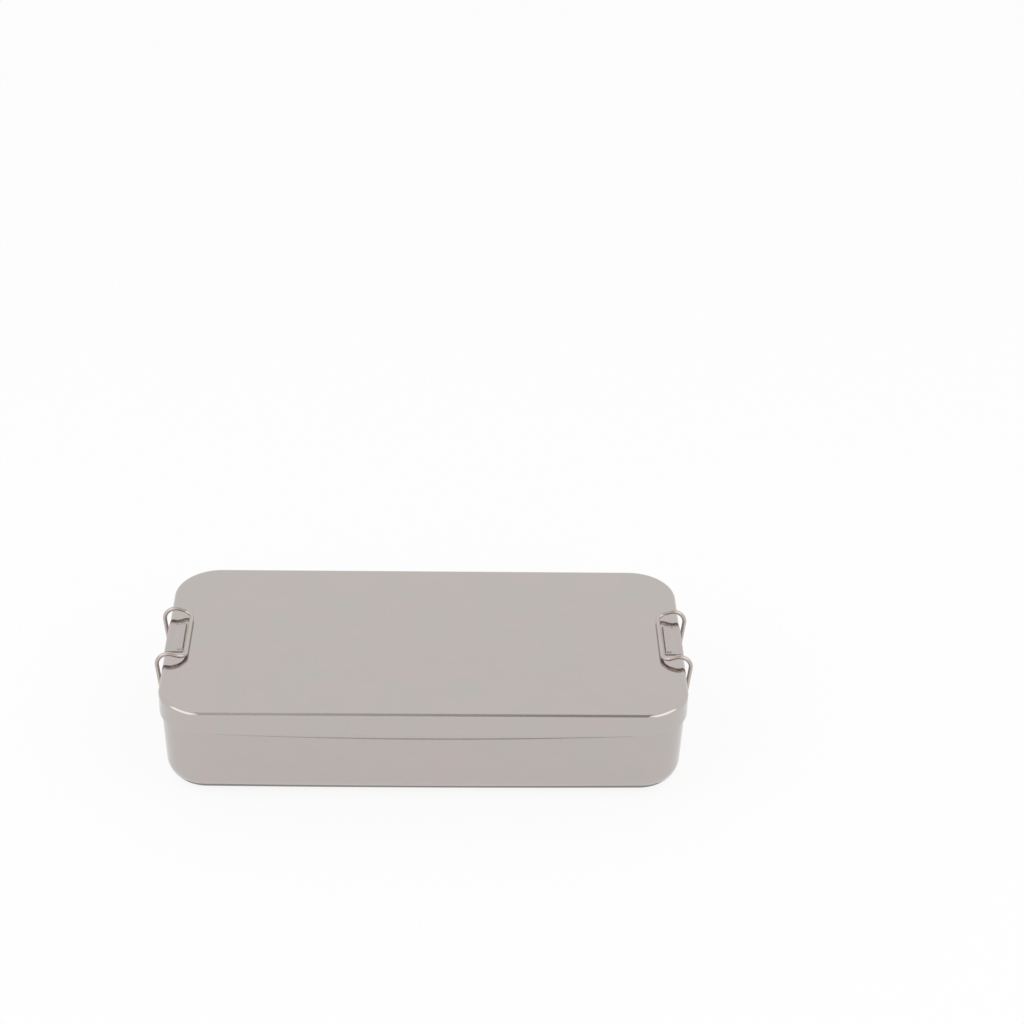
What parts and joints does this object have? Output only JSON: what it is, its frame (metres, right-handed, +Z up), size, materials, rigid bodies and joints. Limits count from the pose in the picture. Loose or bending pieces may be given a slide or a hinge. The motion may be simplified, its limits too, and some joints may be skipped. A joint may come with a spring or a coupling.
{
  "type": "sterilization container",
  "caption": "Long shallow stainless steel instrument container with a lift-off lid held by a sprung wire bail over a clip plate at each end.",
  "frame": {"origin": "middle of the base pan's underside, on the surface the closed container stands on", "axes": "+X along the container's length, +Y away from the camera side, +Z up through the lid"},
  "size_m": [0.3092, 0.15, 0.065],
  "materials": {
    "pan_steel": "satin drawn stainless steel sheet",
    "lid_steel": "polished stainless steel sheet",
    "wire_steel": "bright drawn stainless steel wire",
    "plate_steel": "satin stainless steel sheet",
    "bracket_steel": "satin stainless steel sheet"
  },
  "bodies": {
    "base": {"base_pan": "pan_steel", "left_hinge_bracket": "bracket_steel", "right_hinge_bracket": "bracket_steel"},
    "lid": {"lid": "lid_steel", "left_clip_plate": "plate_steel", "right_clip_plate": "plate_steel"},
    "left_clip": {"left_bail": "wire_steel"},
    "right_clip": {"right_bail": "wire_steel"}
  },
  "joints": [
    {"name": "lid_lift", "type": "slide", "parent": "base", "child": "lid", "axis": [0, 0, 1], "range_m": [0, 0.014]},
    {"name": "left_bail_swing", "type": "hinge", "parent": "base", "child": "left_clip", "pos_m": [-0.15154, 0, 0.038], "axis": [0, -1, 0], "range_deg": [0, 170]},
    {"name": "right_bail_swing", "type": "hinge", "parent": "base", "child": "right_clip", "pos_m": [0.15154, 0, 0.038], "axis": [0, 1, 0], "range_deg": [0, 170]}
  ],
  "couplings": [
    {"joint": "left_bail_swing", "follows": "lid_lift", "rad_per_m": 211.93},
    {"joint": "right_bail_swing", "follows": "lid_lift", "rad_per_m": 211.93}
  ]
}
